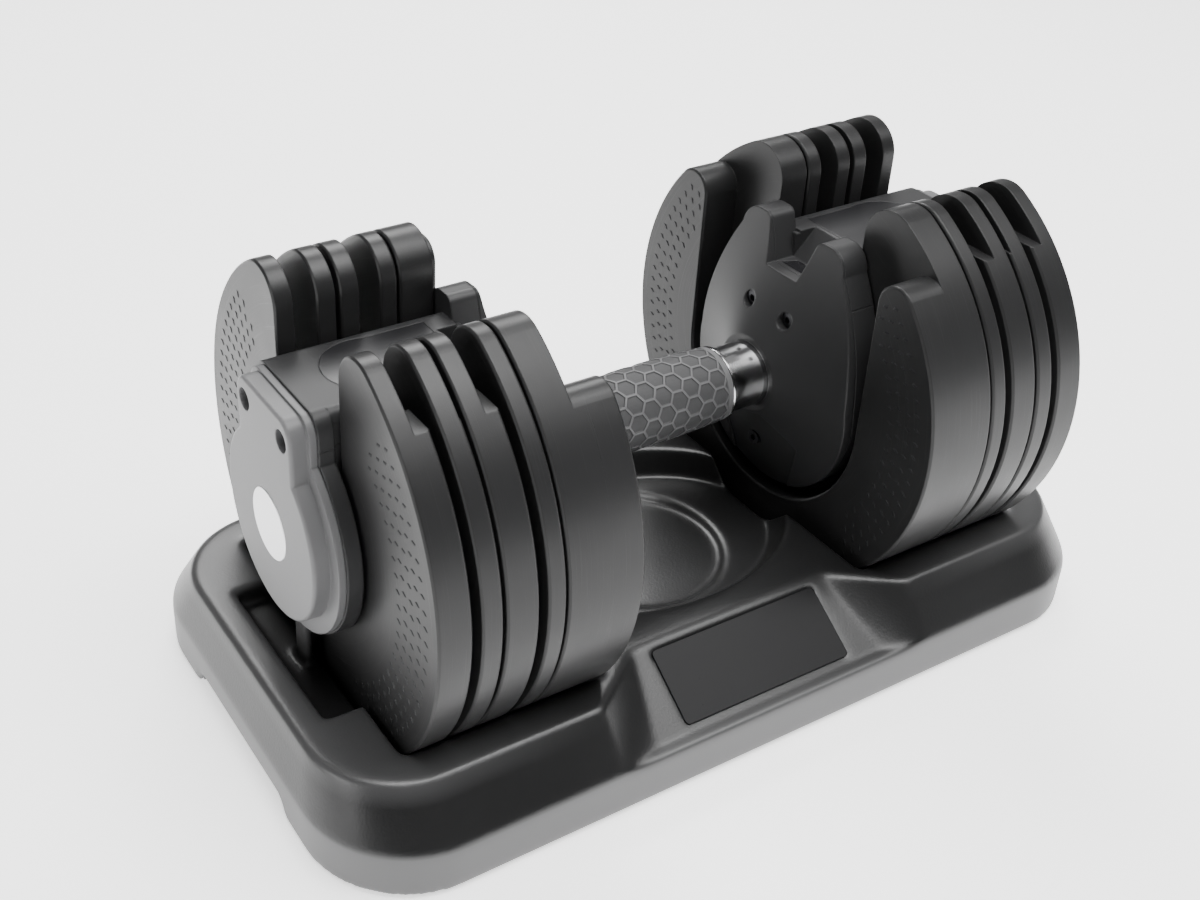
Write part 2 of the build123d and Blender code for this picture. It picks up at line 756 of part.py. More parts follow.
def notch_plan(height, inner, back, outer, shoulder):
    """Plan of the front notch at one height, open towards the front."""
    edge = tray_width / 2
    with BuildSketch(Plane.XY.offset(height)) as plan:
        Polygon((-outer, -edge - 10), (outer, -edge - 10), (outer, -edge + shoulder),
                (inner, -edge + back), (-inner, -edge + back), (-outer, -edge + shoulder), align=None)
    return plan.sketch


def front_notch(grow):
    """Space in front of the slanted middle of the tray; its ends are twisted flanks."""
    low = notch_plan(band_height - grow, notch_low_half + grow, notch_low_back + grow,
                     notch_outer_half + grow, 0.0)
    high = notch_plan(crest_height, notch_high_half + grow, notch_high_back + grow,
                      notch_outer_half + grow, side_inset)
    loft([low, high], ruled=True)


with BuildPart() as tubs:
    well(tray_wall)
    bowl(tray_wall)
    front_notch(tray_wall)
    with BuildSketch(Plane.XY.offset(base_top)):
        with Locations(*tray_screws):
            Circle(tray_boss_radius)
    extrude(amount=crest_height)

with BuildPart() as inside:
    tray_block(tray_wall, crest_height - tray_wall)
    add(tubs.part, mode=Mode.SUBTRACT)

with BuildPart() as openings:
    well(0)
    bowl(0)
    front_notch(0)
    for side in (1, -1):
        with BuildSketch(Plane.YZ.offset(side * tray_length / 2)):
            Trapezoid(2 * arch_half, arch_height, 60, align=(Align.CENTER, Align.MIN))
        extrude(amount=-side * 3 * tray_wall)

post_width = wheel_thick + 1.0
foot_bottom = axis_height - outer_radius + part_gap
slope = Vector(0, notch_high_back - notch_low_back, crest_height - band_height)
badge_middle = Vector(0, (notch_low_back + notch_high_back) / 2 - tray_width / 2,
                      (band_height + crest_height) / 2)
slant = Plane(origin=badge_middle, x_dir=(1, 0, 0), z_dir=Vector(1, 0, 0).cross(slope))
badge_height = slope.length - 2 * badge_margin
with BuildPart() as tray_shell:
    tray_block(0, crest_height)
    add(inside.part, mode=Mode.SUBTRACT)
    add(openings.part, mode=Mode.SUBTRACT)
    with BuildSketch(Plane.XY.offset(base_top)):
        with Locations(*tray_screws):
            Circle(tray_screw_radius + seat_clearance)
    extrude(amount=tray_screw_length, mode=Mode.SUBTRACT)
    with BuildSketch(slant):
        RectangleRounded(2 * (badge_half + part_gap), badge_height + 2 * part_gap, 2)
    extrude(amount=-badge_thick + part_gap, mode=Mode.SUBTRACT)
    # posts that push the lock sliders up while the dumbbell is in the tray
    for side in (1, -1):
        with BuildSketch(Plane.XY.offset(pocket_floor - tray_wall)):
            with Locations((side * (wheel_start + wheel_thick / 2), 0)):
                Rectangle(post_width, 2 * post_half)
        extrude(amount=foot_bottom - part_gap - pocket_floor + tray_wall)
save(tray_shell.part, "tray_shell")

with BuildPart() as badge_plate:
    with BuildSketch(slant.offset(part_gap - badge_thick)):
        RectangleRounded(2 * badge_half, badge_height, 2)
    extrude(amount=badge_thick)
save(badge_plate.part, "badge_plate")

with BuildPart() as tray_base:
    with BuildSketch(Plane.XY.offset(skirt_gap)):
        RectangleRounded(tray_length - 2 * (tray_wall + part_gap), tray_width - 2 * (tray_wall + part_gap),
                         corner_radius - tray_wall - part_gap)
        with Locations(*tray_screws):
            Circle(tray_screw_radius + seat_clearance, mode=Mode.SUBTRACT)
    extrude(amount=base_thick)
    for side in (1, -1):
        with BuildSketch(Plane.XY.offset(skirt_gap)):
            with Locations((side * tray_length / 2, 0)):
                Rectangle(6 * tray_wall, 2 * arch_half)
        extrude(amount=base_thick, mode=Mode.SUBTRACT)
    with BuildSketch(Plane.XY.offset(skirt_gap)):
        with Locations(*foot_places):
            Circle(foot_radius + seat_clearance)
        with Locations(*tray_screws):
            Circle(screw_head_radius + seat_clearance)
    extrude(amount=foot_thick - skirt_gap, mode=Mode.SUBTRACT)
save(tray_base.part, "tray_base")

with BuildPart() as tray_screw_set:
    with BuildSketch(Plane.XY.offset(foot_thick)):
        with Locations(*tray_screws):
            Circle(tray_screw_radius)
    extrude(amount=base_top - foot_thick + tray_screw_length - 2)
    with BuildSketch(Plane.XY.offset(skirt_gap)):
        with Locations(*tray_screws):
            Circle(screw_head_radius)
    extrude(amount=foot_thick - skirt_gap)
save(tray_screw_set.part, "tray_screws")

with BuildPart() as rubber_feet:
    with BuildSketch(Plane.XY):
        with Locations(*foot_places):
            Circle(foot_radius)
    extrude(amount=foot_thick)
save(rubber_feet.part, "rubber_feet")
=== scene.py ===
# %% [markdown]
# # An adjustable dumbbell in its tray
# The frame below is the engineering model: it gives every piece its place and its moving body.
# This notebook adds what the eye looks for on top of it: the paint on the plates, the rubber
# honeycomb of the grip, the soft edges of moulded plastic and plain studio light.
# %% Load the frame
import json
import math

import bmesh
import bpy
from mathutils import Matrix, Vector


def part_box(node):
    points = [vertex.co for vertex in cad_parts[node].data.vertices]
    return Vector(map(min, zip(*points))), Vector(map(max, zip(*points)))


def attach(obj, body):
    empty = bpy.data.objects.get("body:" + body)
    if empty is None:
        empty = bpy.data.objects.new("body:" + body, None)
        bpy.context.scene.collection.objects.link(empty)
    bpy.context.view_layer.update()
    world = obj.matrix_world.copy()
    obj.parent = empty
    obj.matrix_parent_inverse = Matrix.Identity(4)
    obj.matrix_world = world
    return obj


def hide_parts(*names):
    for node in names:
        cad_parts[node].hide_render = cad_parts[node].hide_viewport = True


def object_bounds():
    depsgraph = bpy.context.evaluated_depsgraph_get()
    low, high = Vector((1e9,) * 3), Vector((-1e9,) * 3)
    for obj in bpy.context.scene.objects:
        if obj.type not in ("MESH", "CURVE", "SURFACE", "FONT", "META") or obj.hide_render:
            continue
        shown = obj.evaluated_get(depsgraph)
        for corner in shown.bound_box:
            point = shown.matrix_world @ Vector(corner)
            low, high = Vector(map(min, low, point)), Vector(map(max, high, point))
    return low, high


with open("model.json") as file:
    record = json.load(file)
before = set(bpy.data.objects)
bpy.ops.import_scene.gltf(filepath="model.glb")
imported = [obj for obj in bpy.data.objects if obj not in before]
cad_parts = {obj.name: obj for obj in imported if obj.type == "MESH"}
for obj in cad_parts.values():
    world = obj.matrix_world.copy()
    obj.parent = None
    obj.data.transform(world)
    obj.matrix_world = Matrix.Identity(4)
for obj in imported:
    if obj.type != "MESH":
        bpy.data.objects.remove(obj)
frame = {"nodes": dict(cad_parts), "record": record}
nodes = frame["nodes"]
cad_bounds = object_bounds()
SIDES = ("left", "right")
MM = 0.001
handle_low, handle_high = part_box("handle_grip")
AXIS_Z = (handle_low.z + handle_high.z) / 2
print(len(nodes), "CAD nodes, handle axis at", round(AXIS_Z, 4), "m")

# %% [markdown]
# ## The camera
# The set stands on a table and is seen from the front left, a little over the top of the plates.
# A long lens keeps the far end nearly as large as the near one. The lens is shifted slightly, as
# a product picture cropped off centre is.
# %% Camera
AZIMUTH, ELEVATION, ROLL = math.radians(-31.62), math.radians(31.72), math.radians(1.34)
DISTANCE, FOCAL, SHIFT = 0.9187, 1538.5, (-105.4, -57.5)
TARGET = Vector((0.0578, 0.2172, -0.0205))
FRAME_WIDTH = 1200

back = Vector((math.sin(AZIMUTH) * math.cos(ELEVATION), -math.cos(AZIMUTH) * math.cos(ELEVATION),
               math.sin(ELEVATION)))
right = Vector((math.cos(AZIMUTH), math.sin(AZIMUTH), 0))
up = back.cross(right)
rolled_right = math.cos(ROLL) * right + math.sin(ROLL) * up
rolled_up = back.cross(rolled_right)

lens = bpy.data.cameras.new("camera")
lens.sensor_width = 36
lens.lens = FOCAL * lens.sensor_width / FRAME_WIDTH
lens.shift_x = -SHIFT[0] / FRAME_WIDTH
lens.shift_y = SHIFT[1] / FRAME_WIDTH
camera = bpy.data.objects.new("camera", lens)
camera.matrix_world = Matrix.Translation(TARGET + DISTANCE * back) @ Matrix(
    (rolled_right, rolled_up, back)).transposed().to_4x4()
bpy.context.scene.collection.objects.link(camera)
bpy.context.scene.camera = camera
print("camera at", [round(c, 3) for c in camera.location], "lens", round(lens.lens, 1), "mm")

# %% [markdown]
# ## Shader sums written as formulas
# A finish such as scratched paint is a formula of the place on the surface. Wrapping each socket
# in a small class lets the formula be written the way it would be on paper, and each operator
# adds one Math node behind the scenes.
# %% Formulas for finishes
class Sum:
    """A number that varies over the surface, ready for arithmetic."""

    def __init__(self, finish, socket):
        self.finish, self.socket = finish, socket

    def math(self, operation, *values):
        return self.finish.node("ShaderNodeMath", {"operation": operation}, dict(enumerate(values)))

    def __add__(self, other):
        return self.math("ADD", self, other)

    def __sub__(self, other):
        return self.math("SUBTRACT", self, other)

    def __rsub__(self, other):
        return self.math("SUBTRACT", other, self)

    def __mul__(self, other):
        return self.math("MULTIPLY", self, other)

    __radd__, __rmul__ = __add__, __mul__

    def over(self, low, high):
        """0 at low, 1 at high, clipped outside."""
        return self.finish.node("ShaderNodeMapRange", {"clamp": True},
                                {"Value": self, "From Min": low, "From Max": high})


class Finish:
    """One material: its node tree, the surface shader and short ways to add patterns."""

    def __init__(self, name, **constants):
        self.material = bpy.data.materials.new(name)
        self.material.use_nodes = True
        self.tree = self.material.node_tree
        self.shader = self.tree.nodes["Principled BSDF"]
        place = self.tree.nodes.new("ShaderNodeTexCoord")
        self.place = Sum(self, place.outputs["Object"])
        self.set(**constants)

    def node(self, kind, settings=None, inputs=None, output=0):
        """Any other node: its settings first, then values or links for its sockets."""
        node = self.tree.nodes.new(kind)
        for key, value in (settings or {}).items():
            setattr(node, key, value)
        for key, value in (inputs or {}).items():
            self.feed(node.inputs[key], value)
        return Sum(self, node.outputs[output])

    def feed(self, socket, value):
        if isinstance(value, Sum):
            self.tree.links.new(value.socket, socket)
        else:
            socket.default_value = value

    def set(self, **values):
        """Sockets of the surface shader, written Base_Color for Base Color."""
        for key, value in values.items():
            if key == "Base_Color" and not isinstance(value, Sum):
                value = (*value, 1)
            self.feed(self.shader.inputs[key.replace("_", " ")], value)

    def noise(self, scale, detail=2.0, place=None, roughness=0.5):
        return self.node("ShaderNodeTexNoise", {"noise_dimensions": "3D"},
                         {"Vector": place or self.place, "Scale": scale, "Detail": detail,
                          "Roughness": roughness})

    def axes(self):
        split = self.tree.nodes.new("ShaderNodeSeparateXYZ")
        self.tree.links.new(self.place.socket, split.inputs[0])
        return [Sum(self, out) for out in split.outputs]

    def vector(self, x, y, z):
        return self.node("ShaderNodeCombineXYZ", None, {0: x, 1: y, 2: z})

    def polar(self):
        """Place along the handle, distance from its axis and angle round it."""
        x, y, z = self.axes()
        height = z - AXIS_Z
        radius = (y * y + height * height).math("SQRT", y * y + height * height)
        return x, radius, height.math("ARCTAN2", height, y)

    def mix(self, share, first, second):
        """From the first colour to the second."""
        as_colour = [v if isinstance(v, Sum) else (*v, 1) for v in (first, second)]
        return self.node("ShaderNodeMix", {"data_type": "RGBA"},
                         {0: share, 6: as_colour[0], 7: as_colour[1]}, output=2)

    def relief(self, height, depth, edge=0.0):
        """Bump of a depth in metres, over edges rounded to a radius in metres."""
        inputs = {"Height": height, "Distance": depth, "Strength": 1.0}
        if edge:
            inputs["Normal"] = self.node("ShaderNodeBevel", {"samples": 6}, {"Radius": edge})
        self.set(Normal=self.node("ShaderNodeBump", None, inputs))


print("finish tools ready")

# %% [markdown]
# ## Painted steel for the plates
# The plates are taken to be steel under a thin satin coat. Handling leaves fine scratches that
# run round the rims, and a few rubbed patches that shine more. Stretching noise along the
# angle round the handle gives the scratches, and broad noise gives the rubbed patches.
# %% Plate finish
def plate_finish(name, colour, rubbed, shine):
    finish = Finish(name, Metallic=0.0, Specular_IOR_Level=0.30)
    x, radius, angle = finish.polar()
    lines = finish.noise(1.0, 3.0, finish.vector(x * 2600.0, radius * 1700.0, angle * 2.2))
    streaks = lines.over(0.58, 0.74)
    patches = finish.noise(22.0, 4.0).over(0.42, 0.68)
    grain = finish.noise(1900.0, 2.0)
    worn = finish.mix(patches * 0.5, colour, rubbed)
    finish.set(Base_Color=finish.mix(streaks * 0.22, worn, [c * 2.2 for c in rubbed]),
               Roughness=shine - patches * 0.07 - streaks * 0.05 + grain * 0.05)
    finish.relief(grain * 0.6 - streaks * 0.5, 0.00003, edge=0.0008)
    return finish.material


plate_paint = plate_finish("plate_paint", (0.015, 0.015, 0.0153), (0.023, 0.023, 0.0235), 0.36)
print("plate finish", plate_paint.name)

# %% [markdown]
# ## Moulded plastics
# The housings, covers and tray are injection moulded. A mould is spark eroded or etched, so the
# plastic carries an even fine grain. Each part differs only in colour, gloss and grain, so one
# function makes them all, and a slow noise keeps large faces from looking flat.
# %% Plastic finishes
def plastic_finish(name, colour, shine, grain_size, grain_depth, edge, vary=0.25, gloss=0.5):
    finish = Finish(name, Specular_IOR_Level=gloss)
    broad = finish.noise(14.0, 3.0)
    grain = finish.noise(1.0 / grain_size, 2.0, roughness=0.6)
    finish.set(Base_Color=finish.mix(broad * vary, colour, [c * 1.8 for c in colour]),
               Roughness=shine + (broad - 0.5) * 0.12 + (grain - 0.5) * 0.08)
    finish.relief(grain, grain_depth, edge=edge)
    return finish.material


shell_plastic = plastic_finish("shell_plastic", (0.022, 0.022, 0.0226), 0.42, 0.0005, 0.00003, 0.0012,
                               gloss=0.28)
end_plastic = plastic_finish("end_plastic", (0.115, 0.115, 0.117), 0.42, 0.0006, 0.00002, 0.0010,
                             gloss=0.3)
inner_plastic = plastic_finish("inner_plastic", (0.04, 0.04, 0.044), 0.55, 0.0006, 0.00003, 0.0004)
dial_plastic = plastic_finish("dial_plastic", (0.02, 0.02, 0.022), 0.50, 0.0006, 0.00002, 0.0003)
nylon = plastic_finish("selector_nylon", (0.42, 0.41, 0.37), 0.52, 0.0008, 0.00003, 0.0004)
foot_rubber = plastic_finish("foot_rubber", (0.018, 0.018, 0.018), 0.80, 0.0005, 0.00005, 0.0006)
dark_panel = plastic_finish("dark_panel", (0.012, 0.012, 0.013), 0.30, 0.0009, 0.00001, 0.0006)
badge_gloss = plastic_finish("badge_gloss", (0.008, 0.008, 0.0085), 0.30, 0.0015, 0.000006, 0.0005,
                             gloss=0.12)
print("plastics ready")

# %% [markdown]
# ## The tray's plastic
# The tray's top carries a leather-like grain, and its lower band is smoother and satin. The change
# lies at a fixed height, so the height over the floor blends the two. The band is also painted
# lighter, as painted light from the pale table in front. On the top, the flat ends are painted
# lighter as painted light, and the bowl in the middle and the sloping shoulder darker as painted shade.
# %% Tray finish
BAND_TOP = 21.5 * MM
BOWL_SIDE, TRAY_END = 70 * MM, 165 * MM
SHOULDER_MIDDLE, CREST = 36 * MM, 43.5 * MM
tray_finish = Finish("tray_plastic", Specular_IOR_Level=0.5)
tray_x, tray_y, tray_height = tray_finish.axes()
# Masks for painted light: lighter towards the ends and on the flat crest, darker in the bowl and on the
# shoulder.
painted_light_to_end = tray_x.math("ABSOLUTE", tray_x).over(BOWL_SIDE, TRAY_END)
flat = tray_height.over(SHOULDER_MIDDLE, CREST)
is_top = tray_height.over(BAND_TOP - 1.5 * MM, BAND_TOP + 0.5 * MM)
pebbles = tray_finish.node("ShaderNodeTexVoronoi", {"feature": "SMOOTH_F1"},
                           {"Vector": tray_finish.place, "Scale": 900.0, "Smoothness": 0.6})
fine = tray_finish.noise(1500.0, 2.0)
slow = tray_finish.noise(11.0, 3.0)
# The band's lighter colour is painted light from the table. The top goes from painted shade in the bowl
# and on the shoulder to painted light on the flat ends.
tray_finish.set(
    Base_Color=tray_finish.mix(
        is_top, tray_finish.mix(slow * 0.4, (0.082, 0.082, 0.083), (0.110, 0.110, 0.112)),
        tray_finish.mix(painted_light_to_end * flat * 0.8 + slow * 0.15, (0.007, 0.007, 0.0072), (0.062, 0.062, 0.063))),
    Roughness=0.42 - is_top * 0.12 + (slow - 0.5) * 0.12 + pebbles * is_top * 0.05)
tray_finish.relief(pebbles * is_top * 0.8 + fine * 0.5, 0.00004)
tray_plastic = tray_finish.material
print("tray finish", tray_plastic.name)

# %% [markdown]
# ## Metals and the window
# The collars are chrome, the discs on the end covers are spun aluminium with rings of fine
# turning marks, and the lock parts are zinc plated. The window is smoked plastic that still lets
# the numbers behind it show.
# %% Metal finishes
def metal_finish(name, colour, shine, streak_depth, edge=0.0003, turned=False):
    finish = Finish(name, Metallic=1.0)
    x, radius, angle = finish.polar()
    scale = finish.vector(x * 900.0, radius * 5200.0, angle * 0.4) if turned else finish.place
    marks = finish.noise(1.0 if turned else 700.0, 2.0, scale)
    smears = finish.noise(45.0, 3.0)
    finish.set(Base_Color=finish.mix(marks * 0.25, colour, [c * 0.75 for c in colour]),
               Roughness=shine + marks * 0.08 + smears * 0.06)
    finish.relief(marks, streak_depth, edge=edge)
    return finish.material


chrome = metal_finish("chrome", (0.80, 0.80, 0.81), 0.06, 0.000003)
spun_silver = metal_finish("spun_silver", (0.80, 0.80, 0.81), 0.34, 0.000012, turned=True)
zinc = metal_finish("zinc_plate", (0.52, 0.52, 0.50), 0.34, 0.00001)
spring_wire = metal_finish("spring_wire", (0.62, 0.62, 0.64), 0.22, 0.000004)
ground_steel = metal_finish("ground_steel", (0.56, 0.56, 0.57), 0.28, 0.000008, turned=True)
bronze = metal_finish("sintered_bronze", (0.52, 0.34, 0.16), 0.42, 0.00002)
black_oxide = metal_finish("black_oxide", (0.045, 0.045, 0.048), 0.38, 0.00001, edge=0.0002)

window_finish = Finish("smoked_window", Base_Color=(0.12, 0.12, 0.13), IOR=1.2,
                       Transmission_Weight=0.9, Specular_IOR_Level=0.5)
haze = window_finish.noise(60.0, 2.0)
window_finish.set(Roughness=haze * 0.05 + 0.03)
window_finish.relief(haze, 0.00001)
smoked_window = window_finish.material
print("metals and window ready")

# %% [markdown]
# ## Rubber for the grip
# The grip is a rubber sleeve with a raised honeycomb net. Hands polish the raised net smoother than
# the floor of the cells. The net is also painted lighter, a painted highlight, and the cells darker,
# painted shade.
# %% Grip finishes
def rubber_finish(name, colour, shine):
    finish = Finish(name, Specular_IOR_Level=0.4)
    dust = finish.noise(240.0, 4.0)
    skin = finish.noise(2600.0, 2.0)
    finish.set(Base_Color=finish.mix(dust * 0.5, colour, [c * 1.7 for c in colour]),
               Roughness=shine + (dust - 0.5) * 0.12)
    finish.relief(skin, 0.00004)
    return finish.material


# The two copies differ in colour as painted shade in the cells and a painted highlight on the ridges; the
# ridges' lower roughness is wear.
grip_cell_painted_shade = rubber_finish("grip_cell_painted_shade", (0.034, 0.034, 0.035), 0.64)
grip_ridge_painted_highlight = rubber_finish("grip_ridge_painted_highlight", (0.082, 0.082, 0.084), 0.48)
print("rubber ready")

# %% [markdown]
# ## Paint the frame's own pieces
# The engineering model's shapes are kept wherever they are right, so those pieces only take
# their finish here, one finish for each material slot in the record.
# %% Hand out the finishes
finish_of_slot = {
    "plate_steel": plate_paint, "shell_plastic": shell_plastic, "end_plastic": end_plastic,
    "silver_disc": spun_silver, "smoked_lens": smoked_window, "dark_inlay": dark_panel,
    "lock_steel": zinc, "spring_steel": spring_wire, "dial_plastic": dial_plastic,
    "inner_plastic": inner_plastic, "chrome": chrome, "selector_plastic": nylon,
    "black_screw": black_oxide, "bronze": bronze, "grip_rubber": grip_cell_painted_shade,
    "shaft_steel": ground_steel, "tray_plastic": tray_plastic, "badge_gloss": badge_gloss,
    "foot_rubber": foot_rubber,
}
slot_of_node = {part["node"]: part["material_slot"] for part in frame["record"]["subparts"]}
for name, piece in nodes.items():
    for material_slot in piece.material_slots:
        material_slot.material = finish_of_slot[slot_of_node[name]]
print("finishes given to", len(slot_of_node), "nodes")


# %% [markdown]
# ## New pieces
# Each new piece is a mesh made here, given a finish and tied to the body it moves with.
# %% Helper for new pieces
def add_piece(name, mesh, body, slot, *finishes):
    piece = bpy.data.objects.new(name, mesh)
    bpy.context.scene.collection.objects.link(piece)
    for finish in finishes:
        mesh.materials.append(finish)
    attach(piece, body)
    print(name, len(mesh.polygons), "faces on", body)
    return piece


def mesh_of(name, points, faces):
    mesh = bpy.data.meshes.new(name)
    mesh.from_pydata(points, [], faces)
    mesh.validate()
    for polygon in mesh.polygons:
        polygon.use_smooth = False
    mesh.update()
    return mesh


# %% [markdown]
# ## The honeycomb of the grip
# The net could be painted on with bump, but its ridges catch the light along the grip's outline,
# so it is real relief. Each cell is a hexagon wrapped round the grip: its border stands proud,
# a short slope leads down, and the floor lies on the sleeve. Neighbours share their border.
# %% Grip honeycomb
CELLS_ROUND = 13
RIDGE_HEIGHT = 0.45 * MM
RIDGE_SHARE, SLOPE_SHARE = 0.90, 0.80

grip_half = handle_high.x
grip_middle_radius = (handle_high.z - handle_low.z) / 2
grip_end_radius = max(math.hypot(v.co.y, v.co.z - AXIS_Z) for v in nodes["handle_grip"].data.vertices
                      if v.co.x > grip_half - 0.1 * MM)


def grip_radius(x):
    return grip_middle_radius - (grip_middle_radius - grip_end_radius) * (x / grip_half) ** 2


def on_grip(x, angle, lift):
    radius = grip_radius(x) + lift
    return (x, radius * math.cos(angle), AXIS_Z + radius * math.sin(angle))


def honeycomb(limit):
    points, faces, kinds = [], [], []
    step = 2 * math.pi / CELLS_ROUND
    flat = step * grip_middle_radius
    side = flat / math.sqrt(3)
    columns = int(limit / (1.5 * side)) + 1
    for column in range(-columns, columns + 1):
        for row in range(CELLS_ROUND):
            centre_x = column * 1.5 * side
            centre_angle = (row + 0.5 * (column % 2)) * step
            first = len(points)
            for share, lift in ((1.0, RIDGE_HEIGHT), (RIDGE_SHARE, RIDGE_HEIGHT),
                                (SLOPE_SHARE, 0.03 * MM), (0.4, 0.03 * MM)):
                for corner in range(12):
                    turn = corner * math.pi / 6
                    reach = side * share * (1.0 if corner % 2 == 0 else math.sqrt(3) / 2)
                    x = centre_x + reach * math.cos(turn)
                    x = max(-limit, min(limit, x))
                    points.append(on_grip(x, centre_angle + reach * math.sin(turn) / grip_middle_radius,
                                          lift))
            points.append(on_grip(max(-limit, min(limit, centre_x)), centre_angle, 0.03 * MM))
            for ring in range(3):
                for corner in range(12):
                    following = (corner + 1) % 12
                    faces.append((first + ring * 12 + corner, first + ring * 12 + following,
                                  first + (ring + 1) * 12 + following, first + (ring + 1) * 12 + corner))
                    kinds.append(1 if ring == 0 else 0)
            for corner in range(12):
                faces.append((first + 36 + corner, first + 36 + (corner + 1) % 12, first + 48))
                kinds.append(0)
    return points, faces, kinds


END_BAND = 3.0 * MM
net_points, net_faces, net_kinds = honeycomb(grip_half - END_BAND)
net_mesh = bpy.data.meshes.new("grip_honeycomb")
net_mesh.from_pydata(net_points, [], net_faces)
# Ridge tops take the lighter rubber, a painted highlight; slopes and cell floors take the darker one,
# painted shade.
for polygon, kind in zip(net_mesh.polygons, net_kinds):
    polygon.material_index = kind
work = bmesh.new()
work.from_mesh(net_mesh)
bmesh.ops.remove_doubles(work, verts=work.verts, dist=0.02 * MM)
bmesh.ops.dissolve_degenerate(work, edges=work.edges, dist=0.01 * MM)
bmesh.ops.recalc_face_normals(work, faces=work.faces)
work.to_mesh(net_mesh)
work.free()
add_piece("grip_honeycomb", net_mesh, "handle", "grip_rubber", grip_cell_painted_shade, grip_ridge_painted_highlight)

# %% [markdown]
# ## The plain bands at the ends of the grip
# The net stops at a smooth raised band at each end of the sleeve. A profile turned round the
# handle makes it.
# %% Grip end bands
def turned(profile, segments=96):
    """Points (x, radius) turned round the handle; the profile is a closed loop."""
    points, faces = [], []
    for step in range(segments):
        angle = 2 * math.pi * step / segments
        points += [(x, r * math.cos(angle), AXIS_Z + r * math.sin(angle)) for x, r in profile]
    count = len(profile)
    for step in range(segments):
        here, there = step * count, (step + 1) % segments * count
        for i in range(count):
            j = (i + 1) % count
            faces.append((here + i, here + j, there + j, there + i))
    return points, faces


def join(*shapes):
    points, faces = [], []
    for shape_points, shape_faces in shapes:
        faces += [tuple(i + len(points) for i in face) for face in shape_faces]
        points += shape_points
    return points, faces


def end_band(side):
    inner, outer = grip_half - END_BAND - 0.2 * MM, grip_half - 0.15 * MM
    base, top = grip_end_radius - 0.2 * MM, grip_end_radius + 0.55 * MM
    profile = [(inner, base), (inner, top - 0.25 * MM), (inner + 0.3 * MM, top),
               (outer - 0.6 * MM, top), (outer, top - 0.5 * MM), (outer, base)]
    return turned([(side * x, r) for x, r in profile])


band_mesh = mesh_of("grip_end_bands", *join(end_band(1), end_band(-1)))
# The bands take the lighter ridge rubber, a painted highlight.
add_piece("grip_end_bands", band_mesh, "handle", "grip_rubber", grip_ridge_painted_highlight)

# %% [markdown]
# ## The dimple pattern of the plates
# The flat faces of the outermost plates, and of the blocks at the innermost ones, carry fans of
# small diamonds stamped in the coat. Each is drawn as a low raised diamond of darker coat on the face,
# painted shade standing in for the shade inside a stamped dimple, in rows that follow the rim,
# staggered so that they read as a fan.
# %% Diamonds on the plate faces
# Darker coat for the diamonds: painted shade for the inside of the dimples.
dimple_painted_shade = plate_finish("dimple_painted_shade", (0.010, 0.010, 0.011), (0.016, 0.016, 0.017), 0.55)
plate_low, plate_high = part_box("plate_1_right")
PLATE_RADIUS = (plate_high.y - plate_low.y) / 2


ROW_DEPTHS = (9, 14, 19, 24, 29)  # mm from the rim to each row
DIAMOND_SPACING = 6.4 * MM
SLOT_SIDE, FAN_INNER, LIP_TOP, LIP_HALF, BLOCK_SIDE = 33 * MM, 50 * MM, 72 * MM, 52 * MM, 60 * MM


def diamonds(face_x, outward, rows, start, stop, spacing, allowed):
    points, faces = [], []
    for row, radius in enumerate(rows):
        count = int((stop - start) * radius / spacing)
        for i in range(count):
            angle = start + (i + 0.5 * (row % 2)) * (stop - start) / count
            for flip in (1, -1):
                y, z = flip * radius * math.cos(angle), radius * math.sin(angle)
                if not allowed(y, z):
                    continue
                out = Vector((0, y, z)).normalized()
                along = Vector((0, -out.z, out.y))
                middle = Vector((face_x, y, z + AXIS_Z))
                first = len(points)
                for long, short, lift in ((1.7, 1.05, 0.02), (1.1, 0.65, 0.22)):
                    for a, b in ((long, 0.5), (0.2, short), (-long, -0.5), (-0.2, -short)):
                        points.append(middle + MM * (a * out + b * along)
                                      + Vector((outward * lift * MM, 0, 0)))
                for k in range(4):
                    n = (k + 1) % 4
                    faces.append((first + k, first + n, first + 4 + n, first + 4 + k))
                faces.append(tuple(first + 4 + k for k in range(4)))
    return points, faces


def on_outer_plate(y, z):
    beside_slot = abs(y) > SLOT_SIDE or z < 0
    below_lip = not (z > LIP_TOP and abs(y) < LIP_HALF)
    return beside_slot and math.hypot(y, z) > FAN_INNER and below_lip


for side in SIDES:
    sign = 1 if side == "right" else -1
    outer_x = sign * plate_high.x
    inner_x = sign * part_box("plate_5_right")[0].x
    rows = [PLATE_RADIUS - d * MM for d in ROW_DEPTHS]
    outer_rows = diamonds(outer_x, sign, rows, math.radians(-62), math.radians(50), DIAMOND_SPACING,
                          on_outer_plate)
    add_piece(f"outer_diamonds_{side}", mesh_of(f"outer_diamonds_{side}", *outer_rows),
              f"plate_1_{side}", "plate_steel", dimple_painted_shade)
    inner_rows = diamonds(inner_x, -sign, rows[:4], math.radians(-55), math.radians(46), DIAMOND_SPACING,
                          lambda y, z: abs(y) > BLOCK_SIDE)
    add_piece(f"inner_diamonds_{side}", mesh_of(f"inner_diamonds_{side}", *inner_rows),
              f"plate_5_{side}", "plate_steel", dimple_painted_shade)

# %% [markdown]
# ## Numbers on the dial
# A ring of numbers turns with the handle under the window, one for each setting. They are round
# figures, not worked out from the masses of the plates. They are flat white characters round the
# rim of the dial, so text is turned into a thin mesh and bent round the rim.
# %% Dial numbers
number_ink = plastic_finish("number_ink", (0.72, 0.72, 0.70), 0.5, 0.0008, 0.00001, 0.0002)
SETTINGS = (24, 20, 16, 12, 8, 4)
NUMBER_SIZE = 5.2 * MM
NUMBER_LIFT = 0.05 * MM
SETTING_STEP = math.radians(36)


